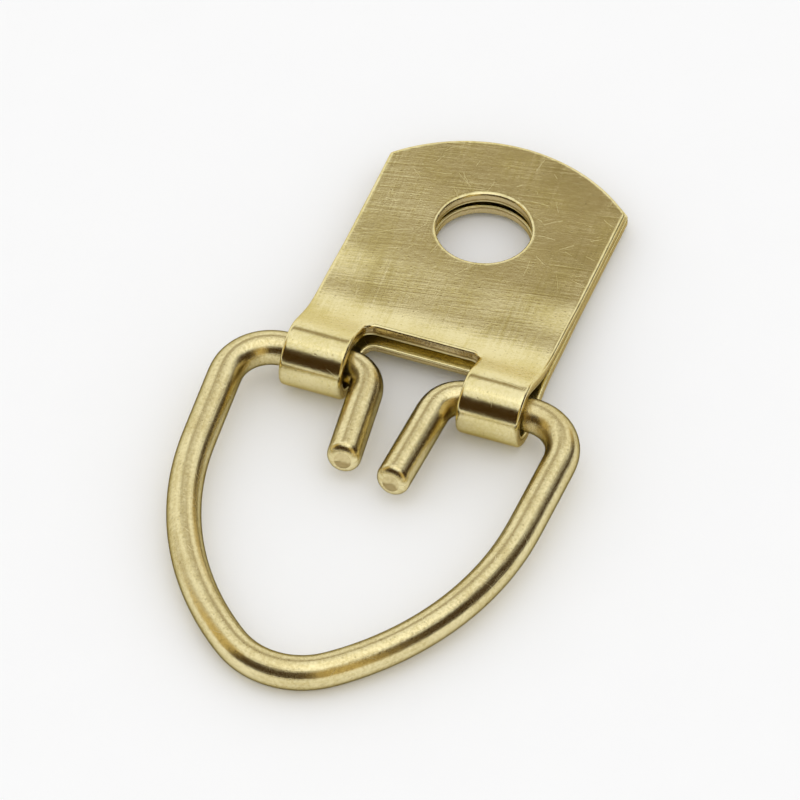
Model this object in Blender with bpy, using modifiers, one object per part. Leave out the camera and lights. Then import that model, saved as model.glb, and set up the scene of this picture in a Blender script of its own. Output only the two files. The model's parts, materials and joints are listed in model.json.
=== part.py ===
"""D ring picture hanger: a sheet strap folded double round a wire ring that swings in its two eyes."""

import math

import bmesh
import bpy
from mathutils import Vector

# Strap sheet
SHEET_THICKNESS = 0.0006
STRAP_WIDTH = 0.0130
LEAF_GAP = 0.0002

# Leaves, measured along the strap from the axis of the eyes
AXIS_TO_HOLE = 0.0114
HOLE_TO_END = 0.0063
LOWER_LEAF_OVERHANG = 0.0005
HOLE_DIAMETER = 0.0050
END_RISE = 0.0026
END_CORNER_RADIUS = 0.0003

# Eyes and the window between them
EYE_CLEARANCE = 0.0003
AXIS_TO_CREASE = 0.0029
CREASE_RADIUS = 0.0025
WINDOW_WIDTH = 0.0063
AXIS_TO_WINDOW_EDGE = 0.0023
WINDOW_CORNER_RADIUS = 0.0006

# Wire ring
WIRE_DIAMETER = 0.0018
RING_REACH = 0.0208
RING_SIDE_CLEARANCE = 0.0002
CORNER_INSIDE_RADIUS = 0.0015
APEX_INSIDE_RADIUS = 0.0034
SIDE_LEAN = math.radians(3)
SIDE_STRAIGHT_SHARE = 0.222

# Legs that end the wire
LEG_BEND_INSIDE_RADIUS = 0.0006
LEG_BEND_INSET = 0.0002
LEG_TIP_GAP = 0.0010
LEFT_LEG_REACH = 0.0062
RIGHT_LEG_REACH = 0.0068
WIRE_END_ROUNDING = 0.00015

# Facets
CIRCLE_STEPS = 48
END_STEPS = 16
CORNER_STEPS = 4
EYE_STEPS = 22
CREASE_STEPS = 5
WIRE_STEP_ANGLE = math.radians(7)
SHOULDER_STEPS = 14
WIRE_BEVEL_RESOLUTION = 6
ROUNDING_SEGMENTS = 2
WELD_DISTANCE = 0.00001

# Worked out from the sizes above
wire_radius = WIRE_DIAMETER / 2
eye_outer_radius = wire_radius + EYE_CLEARANCE + SHEET_THICKNESS
eye_sheet_radius = eye_outer_radius - SHEET_THICKNESS / 2
leaf_height = (LEAF_GAP + SHEET_THICKNESS) / 2
upper_leaf_end = AXIS_TO_HOLE + HOLE_TO_END
lower_leaf_end = upper_leaf_end + LOWER_LEAF_OVERHANG


class SideProfile:
    """The middle line of the bent sheet from the fold's outermost point along one leaf.

    Distances are measured along the sheet, and a point is (along the strap, above its middle plane).
    """

    def __init__(self):
        crease = Vector((AXIS_TO_CREASE, leaf_height))
        tangent_angle = math.atan2(crease.y, crease.x) + math.acos(eye_sheet_radius / crease.length)
        self.slope = math.pi / 2 - tangent_angle
        self.eye_end = eye_sheet_radius * (math.pi - tangent_angle)
        self.ramp_start = eye_sheet_radius * Vector((math.cos(tangent_angle), math.sin(tangent_angle)))
        crease_tangent = CREASE_RADIUS * math.tan(self.slope / 2)
        ramp_length = (crease - self.ramp_start).length - crease_tangent
        self.ramp_end = self.eye_end + ramp_length
        self.crease_end = self.ramp_end + CREASE_RADIUS * self.slope
        self.leaf_start = AXIS_TO_CREASE + crease_tangent

    def point(self, distance):
        if distance <= self.eye_end:
            angle = math.pi - distance / eye_sheet_radius
            return eye_sheet_radius * Vector((math.cos(angle), math.sin(angle)))
        if distance <= self.ramp_end:
            along = distance - self.eye_end
            return self.ramp_start + along * Vector((math.cos(self.slope), -math.sin(self.slope)))
        if distance <= self.crease_end:
            angle = (self.crease_end - distance) / CREASE_RADIUS
            centre = Vector((self.leaf_start, leaf_height + CREASE_RADIUS))
            return centre - CREASE_RADIUS * Vector((math.sin(angle), math.cos(angle)))
        return Vector((self.leaf_start + distance - self.crease_end, leaf_height))

    def distance_at(self, along_strap):
        """How far along the sheet a place beyond the eye's top lies."""
        if along_strap >= self.leaf_start:
            return self.crease_end + along_strap - self.leaf_start
        if along_strap >= self.point(self.ramp_end).x:
            angle = math.asin((self.leaf_start - along_strap) / CREASE_RADIUS)
            return self.crease_end - CREASE_RADIUS * angle
        return self.eye_end + (along_strap - self.ramp_start.x) / math.cos(self.slope)

    def bend_stations(self):
        """The distances at which the bent stretches are divided."""
        eye = [self.eye_end * step / EYE_STEPS for step in range(EYE_STEPS + 1)]
        bend = self.crease_end - self.ramp_end
        crease = [self.ramp_end + bend * step / CREASE_STEPS for step in range(CREASE_STEPS + 1)]
        return eye + crease


profile = SideProfile()


def arc(centre, radius, start, end, steps):
    """Points on a circle from one angle to another, both ends included."""
    angles = [start + (end - start) * step / steps for step in range(steps + 1)]
    return [centre + radius * Vector((math.cos(angle), math.sin(angle))) for angle in angles]


def leaf_end_outline(tip):
    """The bowed end of a leaf that points along +Y, from its right side to its left."""
    half_width = STRAP_WIDTH / 2
    bow_radius = (half_width ** 2 + END_RISE ** 2) / (2 * END_RISE)
    bow_centre = Vector((0, tip - bow_radius))
    corner_x = half_width - END_CORNER_RADIUS
    corner_y = math.sqrt((bow_radius - END_CORNER_RADIUS) ** 2 - corner_x ** 2)
    corner_angle = math.atan2(corner_y, corner_x)
    right = arc(bow_centre + Vector((corner_x, corner_y)), END_CORNER_RADIUS, 0, corner_angle, CORNER_STEPS)
    bow = arc(bow_centre, bow_radius, corner_angle, math.pi - corner_angle, END_STEPS)
    left = [Vector((-point.x, point.y)) for point in reversed(right)]
    return right[:-1] + bow + left[1:]


def turned(points):
    """The same points turned half round, for the other leaf of the blank."""
    return [-point for point in points]


def blank_outline():
    """The strap before it is folded: its fold lies on the X axis, the upper leaf along +Y."""
    upper = leaf_end_outline(profile.distance_at(upper_leaf_end))
    lower = turned(leaf_end_outline(profile.distance_at(lower_leaf_end)))
    return upper + lower


def window_outline():
    corner = Vector((WINDOW_WIDTH / 2, profile.distance_at(AXIS_TO_WINDOW_EDGE)))
    centre = corner - Vector((WINDOW_CORNER_RADIUS, WINDOW_CORNER_RADIUS))
    right = arc(centre, WINDOW_CORNER_RADIUS, 0, math.pi / 2, CORNER_STEPS)
    left = [Vector((-point.x, point.y)) for point in reversed(right)]
    return right + left + turned(right + left)


def hole_outline(side):
    centre = Vector((0, side * profile.distance_at(AXIS_TO_HOLE)))
    return arc(centre, HOLE_DIAMETER / 2, 0, 2 * math.pi, CIRCLE_STEPS)[:-1]


def new_curve(name, outlines, cyclic, dimensions):
    curve = bpy.data.curves.new(name, "CURVE")
    curve.dimensions = dimensions
    for outline in outlines:
        spline = curve.splines.new("POLY")
        spline.points.add(len(outline) - 1)
        for spline_point, place in zip(spline.points, outline):
            spline_point.co = (place.x, place.y, 0, 1)
        spline.use_cyclic_u = cyclic
    return curve


def flat_blank():
    """The stamped blank as a flat mesh, divided across where the sheet will bend."""
    outlines = [blank_outline(), window_outline(), hole_outline(1), hole_outline(-1)]
    curve = new_curve("blank_outline", outlines, True, "2D")
    curve.fill_mode = "BOTH"
    outline_object = bpy.data.objects.new("blank_outline", curve)
    bpy.context.scene.collection.objects.link(outline_object)
    depsgraph = bpy.context.evaluated_depsgraph_get()
    mesh = bpy.data.meshes.new_from_object(outline_object.evaluated_get(depsgraph))
    bpy.data.objects.remove(outline_object)

    blank = bmesh.new()
    blank.from_mesh(mesh)
    bmesh.ops.remove_doubles(blank, verts=blank.verts, dist=WELD_DISTANCE)
    stations = profile.bend_stations()
    for station in stations + [-station for station in stations[1:]]:
        geometry = blank.verts[:] + blank.edges[:] + blank.faces[:]
        bmesh.ops.bisect_plane(blank, geom=geometry, plane_co=(0, station, 0), plane_no=(0, 1, 0),
                               dist=WELD_DISTANCE / 10)
    return mesh, blank


def make_strap(material):
    """One strip of sheet, stamped flat and then folded so that its two leaves lie together."""
    mesh, blank = flat_blank()
    for vertex in blank.verts:
        bent = profile.point(abs(vertex.co.y))
        height = math.copysign(bent.y, vertex.co.y)
        vertex.co = Vector((vertex.co.x, bent.x, height))
    blank.to_mesh(mesh)
    blank.free()
    mesh.name = "folded_strap"
    mesh.materials.clear()
    mesh.materials.append(material)
    strap = bpy.data.objects.new("folded_strap", mesh)
    solidify = strap.modifiers.new("Sheet", "SOLIDIFY")
    solidify.thickness = SHEET_THICKNESS
    solidify.offset = 0
    solidify.use_even_offset = True
    return strap


def leg_points(reach):
    """The right leg's middle line, from its cut end to the bend that takes it into the eye."""
    bend_radius = LEG_BEND_INSIDE_RADIUS + wire_radius
    bend_centre = Vector((WINDOW_WIDTH / 2 + LEG_BEND_INSET, -bend_radius))
    tip = Vector((LEG_TIP_GAP / 2 + wire_radius, -reach))
    to_tip = tip - bend_centre
    bend_end = math.atan2(to_tip.y, to_tip.x) % (2 * math.pi) - math.acos(bend_radius / to_tip.length)
    steps = max(2, round((bend_end - math.pi / 2) / WIRE_STEP_ANGLE))
    return [tip] + arc(bend_centre, bend_radius, bend_end, math.pi / 2, steps)


def side_points():
    """The ring's right side, from the corner beside the eye down to the middle of the apex."""
    corner_radius = CORNER_INSIDE_RADIUS + wire_radius
    apex_radius = APEX_INSIDE_RADIUS + wire_radius
    corner_centre = Vector((STRAP_WIDTH / 2 + RING_SIDE_CLEARANCE, -corner_radius))
    apex_centre = Vector((0, apex_radius + wire_radius - RING_REACH))
    corner_steps = round((math.pi / 2 + SIDE_LEAN) / WIRE_STEP_ANGLE)
    corner = arc(corner_centre, corner_radius, math.pi / 2, -SIDE_LEAN, corner_steps)

    heading = Vector((-math.sin(SIDE_LEAN), -math.cos(SIDE_LEAN)))
    inward = Vector((-math.cos(SIDE_LEAN), math.sin(SIDE_LEAN)))
    straight_end = corner[-1] + SIDE_STRAIGHT_SHARE * RING_REACH * heading
    to_apex = apex_centre - straight_end
    shoulder_radius = (to_apex.length_squared - apex_radius ** 2) / (2 * (inward.dot(to_apex) - apex_radius))
    shoulder_centre = straight_end + shoulder_radius * inward
    to_apex = apex_centre - shoulder_centre
    apex_start = math.atan2(to_apex.y, to_apex.x)
    shoulder = arc(shoulder_centre, shoulder_radius, -SIDE_LEAN, apex_start, SHOULDER_STEPS)
    apex_steps = round((apex_start + math.pi / 2) / WIRE_STEP_ANGLE)
    apex = arc(apex_centre, apex_radius, apex_start, -math.pi / 2, apex_steps)
    return corner + shoulder + apex[1:]


def mirrored(points):
    return [Vector((-point.x, point.y)) for point in reversed(points)]


def make_ring(material):
    """One wire bent into the ring: a leg, an eye's pin, round the apex, and back to the other leg."""
    right_leg = leg_points(RIGHT_LEG_REACH)
    left_leg = mirrored(leg_points(LEFT_LEG_REACH))
    right_side = side_points()
    left_side = mirrored(right_side)
    curve = new_curve("d_ring", [right_leg + right_side + left_side[1:] + left_leg], False, "3D")
    curve.bevel_depth = wire_radius
    curve.bevel_resolution = WIRE_BEVEL_RESOLUTION
    curve.use_fill_caps = True
    curve.materials.append(material)
    ring = bpy.data.objects.new("d_ring", curve)
    weld = ring.modifiers.new("Caps", "WELD")
    weld.merge_threshold = WELD_DISTANCE
    rounding = ring.modifiers.new("Cut ends", "BEVEL")
    rounding.width = WIRE_END_ROUNDING
    rounding.segments = ROUNDING_SEGMENTS
    rounding.limit_method = "ANGLE"
    rounding.angle_limit = math.radians(60)
    return ring


def make_metal(name, colour, roughness):
    material = bpy.data.materials.new(name)
    material.use_nodes = True
    shader = material.node_tree.nodes["Principled BSDF"]
    shader.inputs["Base Color"].default_value = (*colour, 1)
    shader.inputs["Metallic"].default_value = 1
    shader.inputs["Roughness"].default_value = roughness
    return material


def lying_tilt(reach, depth, height):
    """The angle at which a plate with this reach and half depth touches the surface below an axis."""
    return math.asin(height / math.hypot(reach, depth)) - math.atan2(depth, reach)


def main():
    for old in list(bpy.data.objects):
        bpy.data.objects.remove(old)
    collection = bpy.data.collections.new("d_ring_picture_hanger")
    bpy.context.scene.collection.children.link(collection)

    strap = make_strap(make_metal("brass_plated_strip", (0.80, 0.66, 0.36), 0.28))
    ring = make_ring(make_metal("brass_plated_wire", (0.82, 0.67, 0.36), 0.22))

    leaf_back = leaf_height + SHEET_THICKNESS / 2
    strap_tilt = lying_tilt(lower_leaf_end, leaf_back, eye_outer_radius)
    ring_tilt = math.asin((eye_outer_radius - wire_radius) / (RING_REACH - wire_radius))
    strap_length = lower_leaf_end * math.cos(strap_tilt)
    ring_length = (RING_REACH - wire_radius) * math.cos(ring_tilt) + wire_radius

    eye_axis = bpy.data.objects.new("eye_axis", None)
    eye_axis.location = (0, (ring_length - strap_length) / 2, eye_outer_radius)
    strap.rotation_euler.x = -strap_tilt
    ring.rotation_euler.x = ring_tilt
    for part in (eye_axis, strap, ring):
        collection.objects.link(part)
    for piece in (strap, ring):
        piece.parent = eye_axis


main()
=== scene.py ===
"""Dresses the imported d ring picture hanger: its folded strap, wire ring, plating, light and camera."""

import json
import math

import bmesh
import bpy
import numpy as np
from bpy.props import FloatProperty, FloatVectorProperty, IntProperty, PointerProperty
from mathutils import Matrix, Vector
from mathutils.geometry import delaunay_2d_cdt


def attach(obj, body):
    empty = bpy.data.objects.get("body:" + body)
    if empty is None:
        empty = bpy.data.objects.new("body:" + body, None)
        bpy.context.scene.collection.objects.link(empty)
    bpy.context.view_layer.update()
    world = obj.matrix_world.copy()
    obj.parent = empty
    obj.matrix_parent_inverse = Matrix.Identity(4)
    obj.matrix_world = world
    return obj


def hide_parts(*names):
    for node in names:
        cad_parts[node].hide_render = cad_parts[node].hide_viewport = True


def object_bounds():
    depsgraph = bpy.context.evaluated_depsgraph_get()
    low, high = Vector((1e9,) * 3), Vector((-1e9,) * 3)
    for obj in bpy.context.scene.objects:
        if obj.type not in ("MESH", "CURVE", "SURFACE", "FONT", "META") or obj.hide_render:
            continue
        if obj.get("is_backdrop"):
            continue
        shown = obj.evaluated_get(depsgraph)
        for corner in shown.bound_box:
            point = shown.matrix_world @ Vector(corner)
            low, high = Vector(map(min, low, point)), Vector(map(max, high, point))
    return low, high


bl_info = {
    "name": "D Ring Picture Hanger",
    "version": (1, 0, 0),
    "blender": (4, 5, 0),
    "location": "3D View > Sidebar > Hanger",
    "description": "Builds a brass-plated d ring picture hanger with its light and camera",
    "category": "Add Mesh",
}

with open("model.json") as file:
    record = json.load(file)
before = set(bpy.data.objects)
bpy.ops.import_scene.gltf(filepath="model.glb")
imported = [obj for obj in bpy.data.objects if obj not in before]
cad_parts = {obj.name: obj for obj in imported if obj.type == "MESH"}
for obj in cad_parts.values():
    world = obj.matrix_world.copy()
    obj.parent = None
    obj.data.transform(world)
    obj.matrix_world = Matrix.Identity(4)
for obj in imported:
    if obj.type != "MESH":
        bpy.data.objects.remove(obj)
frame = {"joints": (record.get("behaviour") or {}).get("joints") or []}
hinge = Vector(frame["joints"][0]["pos_m"])
MILLIMETRES = 1000


# Settings

def length_property(name, default, description):
    return FloatProperty(name=name, default=default, description=description, subtype="DISTANCE",
                         unit="LENGTH", precision=5)


def angle_property(name, degrees, description):
    return FloatProperty(name=name, default=math.radians(degrees), description=description, subtype="ANGLE")


def share_property(name, default, description):
    return FloatProperty(name=name, default=default, description=description, subtype="FACTOR", min=0, max=1)


def strength_property(name, default, description):
    return FloatProperty(name=name, default=default, description=description, min=0)


def band_property(name, degrees, description):
    return FloatVectorProperty(name=name, size=4, default=[math.radians(angle) for angle in degrees],
                               description=description, unit="ROTATION")


def colour_property(name, default, description):
    return FloatVectorProperty(name=name, default=default, description=description, subtype="COLOR")


class StrapSettings(bpy.types.PropertyGroup):
    thickness: length_property("Thickness", 0.0006, "Thickness of the strip")
    width: length_property("Width", 0.0130, "Width of the strip")
    leaf_gap: length_property("Leaf Gap", 0.0002, "Gap between the two leaves beside the bend")
    spring_open: length_property("Spring Open", 0.00025, "How far the upper leaf's end has sprung up")
    crown: length_property("Crown", 0.00012, "How far a leaf's long edges lie below its middle")
    waviness: length_property("Waviness", 0.00005, "Height of the leaves' slight waves")
    axis_to_hole: length_property("Axis to Hole", 0.0114, "From the eyes' axis to the hole's middle")
    hole_to_end: length_property("Hole to End", 0.0063, "From the hole's middle to the upper leaf's tip")
    overhang: length_property("Overhang", 0.0005, "How far the lower leaf reaches past the upper one")
    hole_diameter: length_property("Hole", 0.0050, "Diameter of the screw hole")
    end_rise: length_property("End Rise", 0.0026, "Rise of the bowed end over the width")
    corner_radius: length_property("Corner Radius", 0.0003, "Radius where the bowed end meets a side")
    eye_clearance: length_property("Eye Clearance", 0.0003, "Room between the wire and the eye")
    axis_to_crease: length_property("Axis to Crease", 0.0029, "From the eyes' axis to the crease")
    crease_radius: length_property("Crease Radius", 0.0025, "Radius of the crease, to the sheet's middle")
    crease_softness: IntProperty(name="Crease Softness", default=500, min=0,
                                 description="How gently the crease passes into the leaf")
    window_width: length_property("Window Width", 0.0063, "Width of the window between the eyes")
    axis_to_window: length_property("Axis to Window", 0.0023, "From the eyes' axis to the window's edge")
    window_corner: length_property("Window Corner", 0.0006, "Radius of the window's corners")
    roll_width: length_property("Rolled Edge Width", 0.00020, "Width of the edge that the punch rolled over")
    roll_depth: length_property("Rolled Edge Depth", 0.00013, "Depth of the edge that the punch rolled over")


class RingSettings(bpy.types.PropertyGroup):
    wire_diameter: length_property("Wire", 0.0018, "Diameter of the wire")
    reach: length_property("Reach", 0.0208, "From the eyes' axis to the apex")
    side_clearance: length_property("Side Clearance", 0.0002, "Room between the strap and the corner's start")
    corner_radius: length_property("Corner Radius", 0.0015, "Inside radius of the corners beside the eyes")
    apex_radius: length_property("Apex Radius", 0.0034, "Inside radius of the apex")
    side_lean: angle_property("Side Lean", 3, "How far the sides lean inwards below the corners")
    side_straight: share_property("Straight Share", 0.222, "Share of the reach with straight sides")
    leg_bend_radius: length_property("Leg Bend Radius", 0.0006, "Inside radius of the bends into the legs")
    leg_bend_inset: length_property("Leg Bend Inset", 0.0002, "How far the bend's centre is inside the eye")
    leg_tip_gap: length_property("Leg Tip Gap", 0.0010, "Gap between the two cut ends")
    left_leg_reach: length_property("Left Leg", 0.0062, "From the eyes' axis to the left leg's tip")
    right_leg_reach: length_property("Right Leg", 0.0068, "From the eyes' axis to the right leg's tip")
    end_rounding: length_property("End Rounding", 0.00042, "Rounding of the wire's cut rims")
    shear_angle: angle_property("Shear Angle", 11, "How far the cut ends lean")


class PlatingSettings(bpy.types.PropertyGroup):
    strip_colour: colour_property("Strip Bright", (0.86, 0.765, 0.43), "The strip's bright plating")
    strip_deep_colour: colour_property("Strip Deep", (0.74, 0.635, 0.28), "The strip's deeper patches")
    wire_colour: colour_property("Wire Bright", (0.86, 0.76, 0.43), "The wire's bright plating")
    wire_deep_colour: colour_property("Wire Deep", (0.66, 0.55, 0.26), "The wire's deeper patches")
    stain_colour: colour_property("Dull Patches", (0.42, 0.34, 0.11), "The strip's dulled plating")
    pit_colour: colour_property("Pits", (0.36, 0.28, 0.12), "The plating in its small pits")
    # Painted shade: the flat-angle tints darken what each metal mirrors near its outline, and the wire's tint
    # is nearly black
    strip_edge_painted_shade: colour_property("Strip Edge Painted Shade", (0.72, 0.62, 0.36),
                                       "Painted shade: darkens what the strip mirrors at a flat angle")
    wire_edge_painted_shade: colour_property("Wire Edge Painted Shade", (0.08, 0.05, 0.015),
                                      "Painted shade: darkens what the wire mirrors at a flat angle")
    # Partly the sheared metal's own colour under thin plating, partly painted shade for the darker
    # surroundings that the cut faces mirror
    cut_metal_and_shade_colour: colour_property("Cut Metal And Shade", (0.66, 0.54, 0.28), "The sheared faces, where plating is thin, darkened further as painted shade")
    torn_colour: colour_property("Torn Metal", (0.40, 0.29, 0.12), "The half of a cut where the metal tore")
    seed: IntProperty(name="Seed", default=4, description="Changes the scratches and marks")


class StageSettings(bpy.types.PropertyGroup):
    azimuth: angle_property("Azimuth", 20, "The camera's direction round the hanger, from the ring's side")
    elevation: angle_property("Elevation", 48, "The camera's height above the floor")
    distance: length_property("Camera Distance", 0.64, "From the camera to the hanger's middle")
    frame_width: length_property("Frame Width", 0.041, "Width of the picture at the hanger")
    floor_colour: colour_property("Floor", (0.96, 0.96, 0.96), "Colour of the floor")
    sky_strength: strength_property("Soft Light", 0.97, "Strength of the soft light from all round")
    lamp_radiance: strength_property("Softbox", 0.30, "Brightness of the softbox's face")
    lamp_size: length_property("Softbox Size", 0.60, "Width of the softbox")
    lamp_height: length_property("Softbox Height", 0.90, "Height of the softbox above the floor")
    flag_radius: length_property("Flag Distance", 0.95, "From the hanger to the cloth flags")
    near_band: band_property("Near Flags", (3, 7, 49, 58),
                             "Elevations in front at which the cloth starts, is whole, thins and ends")
    flank_band: band_property("Flank Flags", (3, 7, 22, 34), "The same elevations beside the hanger")
    far_band: band_property("Far Flags", (35, 44, 48, 57), "The same elevations behind the hanger")
    far_reach: angle_property("Far Reach", 34, "How far the far flag reaches to each side")
    far_warmth: share_property("Far Warmth", 0.36, "Share of the warm cloth in the far flag")
    flag_count: IntProperty(name="Flags", default=3, min=1, description="Number of warm flags")
    flag_turn: angle_property("Flag Turn", 46.5, "Direction in which dark cloth starts to turn warm")
    flag_dark_colour: colour_property("Dark Cloth", (0.045, 0.022, 0.004), "Colour of the dark flags")
    flag_warm_colour: colour_property("Warm Cloth", (0.62, 0.48, 0.21), "Colour of the warm flags")


# Node trees

SOCKET_KINDS = {float: "Float", int: "Int"}


def opaque(colour):
    return (*colour, 1)


class Graph:
    """Places nodes in a tree. A value is a number, a vector, a colour or another node's output."""

    def __init__(self, tree):
        self.tree = tree

    def feed(self, sockets, values):
        """Sets sockets, found by name or number, to their values."""
        for name, value in values.items():
            if isinstance(value, bpy.types.NodeSocket):
                self.tree.links.new(value, sockets[name])
            else:
                sockets[name].default_value = value

    def add(self, kind, inputs=None, **settings):
        node = self.tree.nodes.new(kind)
        for name, value in settings.items():
            setattr(node, name, value)
        self.feed(node.inputs, inputs or {})
        return node

    def math(self, operation, *values, clamp=False):
        inputs = dict(enumerate(values))
        return self.add("ShaderNodeMath", inputs, operation=operation, use_clamp=clamp).outputs[0]

    def product(self, first, second):
        return self.math("MULTIPLY", first, second)

    def total(self, start, *terms):
        """A value plus each term, which is another value and its weight."""
        for value, weight in terms:
            start = self.math("MULTIPLY_ADD", value, weight, start)
        return start

    def vector(self, operation, *values):
        return self.add("ShaderNodeVectorMath", dict(enumerate(values)), operation=operation).outputs[0]

    def scaled(self, vector, factor):
        return self.add("ShaderNodeVectorMath", {0: vector, "Scale": factor}, operation="SCALE").outputs[0]

    def combine(self, x=0, y=0, z=0):
        return self.add("ShaderNodeCombineXYZ", {0: x, 1: y, 2: z}).outputs[0]

    def separate(self, vector):
        return self.add("ShaderNodeSeparateXYZ", {0: vector}).outputs

    def ramp(self, value, low, high, out_low=0, out_high=1):
        """The value mapped smoothly from one range to another."""
        inputs = {0: value, 1: low, 2: high, 3: out_low, 4: out_high}
        return self.add("ShaderNodeMapRange", inputs, interpolation_type="SMOOTHSTEP").outputs[0]

    def noise(self, vector, scale, detail=2, roughness=0.5):
        inputs = {"Vector": vector, "Scale": scale, "Detail": detail, "Roughness": roughness}
        return self.add("ShaderNodeTexNoise", inputs).outputs[0]

    def blend(self, factor, first, second):
        """One colour fading into another."""
        node = self.add("ShaderNodeMix", data_type="RGBA")
        sockets = {socket.identifier: socket for socket in (*node.inputs, *node.outputs)}
        self.feed(sockets, {"Factor_Float": factor, "A_Color": first, "B_Color": second})
        return sockets["Result_Color"]

    def covered(self, colour, *layers):
        """A colour under layers, each of them a cover from 0 to 1 and the layer's own colour."""
        for cover, layer in layers:
            colour = self.blend(cover, colour, opaque(layer))
        return colour

    def group(self, tree, inputs):
        return self.add("ShaderNodeGroup", inputs, node_tree=tree).outputs[0]


def new_tree(name, kind, inputs, output, output_kind):
    """A node group with one output: its graph, its inputs by name and its output by name.

    An input is given as its kind of socket, or as a number, which is then its default.
    """
    tree = bpy.data.node_groups.new(name, kind)
    for label, value in inputs.items():
        socket_kind = SOCKET_KINDS.get(type(value), value)
        socket = tree.interface.new_socket(label, in_out="INPUT", socket_type="NodeSocket" + socket_kind)
        if socket_kind != value:
            socket.default_value = value
    tree.interface.new_socket(output, in_out="OUTPUT", socket_type="NodeSocket" + output_kind)
    graph = Graph(tree)
    return graph, graph.add("NodeGroupInput").outputs, graph.add("NodeGroupOutput").inputs


def chances(graph, cells):
    """Three chance numbers for each cell of a random pattern."""
    return graph.add("ShaderNodeSeparateColor", {0: cells["Color"]}).outputs


def fine_scratches_group():
    """Hairline scratches, one in each cell of a random pattern, all in their own directions."""
    graph, given, result = new_tree(
        "fine scratches", "ShaderNodeTree",
        {"Place": "Vector", "Cell Scale": 0.5, "Width": 0.02, "Length": 0.6, "Share": 0.5,
         "Bend Scale": 0.9, "Bend": 0.25, "Seed": 0.0},
        "Mask", "Float")
    seed = given["Seed"]
    place = graph.vector("ADD", given["Place"], graph.combine(seed, seed, seed))
    wavy = graph.add("ShaderNodeTexNoise", {"Vector": place, "Scale": given["Bend Scale"], "Detail": 1.0})
    place = graph.vector("ADD", place, graph.scaled(wavy.outputs["Color"], given["Bend"]))
    cells = graph.add("ShaderNodeTexVoronoi", {"Vector": place, "Scale": given["Cell Scale"]}).outputs
    from_middle = graph.vector("SUBTRACT", place, cells["Position"])
    chance = chances(graph, cells)
    angle = graph.product(chance[0], math.pi * 2)
    inputs = {"Vector": from_middle, "Angle": angle}
    turned = graph.add("ShaderNodeVectorRotate", inputs, rotation_type="Z_AXIS").outputs[0]
    along, across, _ = graph.separate(turned)
    line = graph.ramp(graph.math("ABSOLUTE", across), 0.0, given["Width"], 1, 0)
    reach = graph.product(given["Length"], chance[1])
    within_reach = graph.math("LESS_THAN", graph.math("ABSOLUTE", along), reach)
    there = graph.math("LESS_THAN", chance[2], given["Share"])
    graph.feed(result, {"Mask": graph.product(graph.product(line, within_reach), there)})
    return graph.tree


def drawn_lines_group():
    """Streaks that run one way, as rolling and drawing leave them. X runs along them."""
    graph, given, result = new_tree(
        "drawn lines", "ShaderNodeTree",
        {"Place": "Vector", "Along Scale": 0.5, "Across Scale": 12.0, "Seed": 0.0},
        "Height", "Float")
    across = given["Across Scale"]
    seed = given["Seed"]
    place = graph.vector("MULTIPLY", given["Place"], graph.combine(given["Along Scale"], across, across))
    place = graph.vector("ADD", place, graph.combine(seed, seed, seed))
    graph.feed(result, {"Height": graph.noise(place, 1.0, detail=3, roughness=0.75)})
    return graph.tree


def pits_group():
    """Small round pits of chance sizes."""
    graph, given, result = new_tree(
        "pits", "ShaderNodeTree",
        {"Place": "Vector", "Cell Scale": 3.0, "Radius": 0.3, "Least Size": 0.3, "Share": 0.3},
        "Mask", "Float")
    inputs = {"Vector": given["Place"], "Scale": given["Cell Scale"]}
    cells = graph.add("ShaderNodeTexVoronoi", inputs).outputs
    chance = chances(graph, cells)
    radius = graph.product(given["Radius"], graph.math("ADD", given["Least Size"], chance[0]))
    dip = graph.math("SUBTRACT", 1.0, graph.math("DIVIDE", cells["Distance"], radius), clamp=True)
    there = graph.math("LESS_THAN", chance[1], given["Share"])
    graph.feed(result, {"Mask": graph.product(dip, there)})
    return graph.tree


# Plating

LENGTHWISE_SLANT = -0.08
CROSSWISE_SLANT = 0.20
CROSSWISE_SHARE = 0.8
CROSSWISE_SEED = 31.0
MARKS_SEED_STEP = 9
STRIP_UPRIGHT_SCALE = (7.0, 7.0, 0.8)
WIRE_UPRIGHT_SCALE = (7.0, 7.0, 0.7)
PIT_COVER = 0.6
WIRE_CUT_COVER = 0.5
WIRE_TORN_COVER = 0.6
MEAN_NOISE = 0.5

# Each pair of values is where a look starts to show and where it shows fully, or the other way round
STRIP_DEEP_TONES = (0.38, 0.68)
WIRE_DEEP_TONES = (0.40, 0.66)
DULL_TONES = (0.42, 0.72)
MOST_DULL = 0.42
WORN_PATCHES = (0.36, 0.62)
LEAST_WORN = 0.35
OFF_THE_BENDS = (3.0, 6.5)
WORN_ON_BENDS = 0.15
STRIP_TORN_LEVELS = (-0.04, 0.02)
WIRE_TORN_LEVELS = (0.18, 0.32)
ROLLS_TO_CUT = (1.05, 0.7)


def new_material(name):
    material = bpy.data.materials.new(name)
    material.use_nodes = True
    return material, Graph(material.node_tree), material.node_tree.nodes["Principled BSDF"]


def place_on_metal(graph, attribute):
    """A point's place on its flat strip or straight wire, in millimetres."""
    place = graph.add("ShaderNodeAttribute", attribute_name=attribute).outputs["Vector"]
    return graph.scaled(place, MILLIMETRES)


def slanted(graph, first, second, level, slant):
    """A place whose X runs nearly along the first direction."""
    return graph.combine(graph.total(first, (second, slant)), graph.total(second, (first, -slant)), level)


def finish_metal(graph, shader, colour, roughness, height, edge_painted_shade):
    """Gives a metal its colour, roughness, relief in millimetres and a painted shade at flat angles."""
    relief = graph.add("ShaderNodeBump", {"Height": height, "Strength": 1.0, "Distance": 1 / MILLIMETRES})
    # The Specular Tint carries the painted edge shade
    graph.feed(shader.inputs, {"Metallic": 1, "Specular Tint": opaque(edge_painted_shade), "Base Color": colour,
                               "Roughness": roughness, "Normal": relief.outputs[0]})


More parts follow.
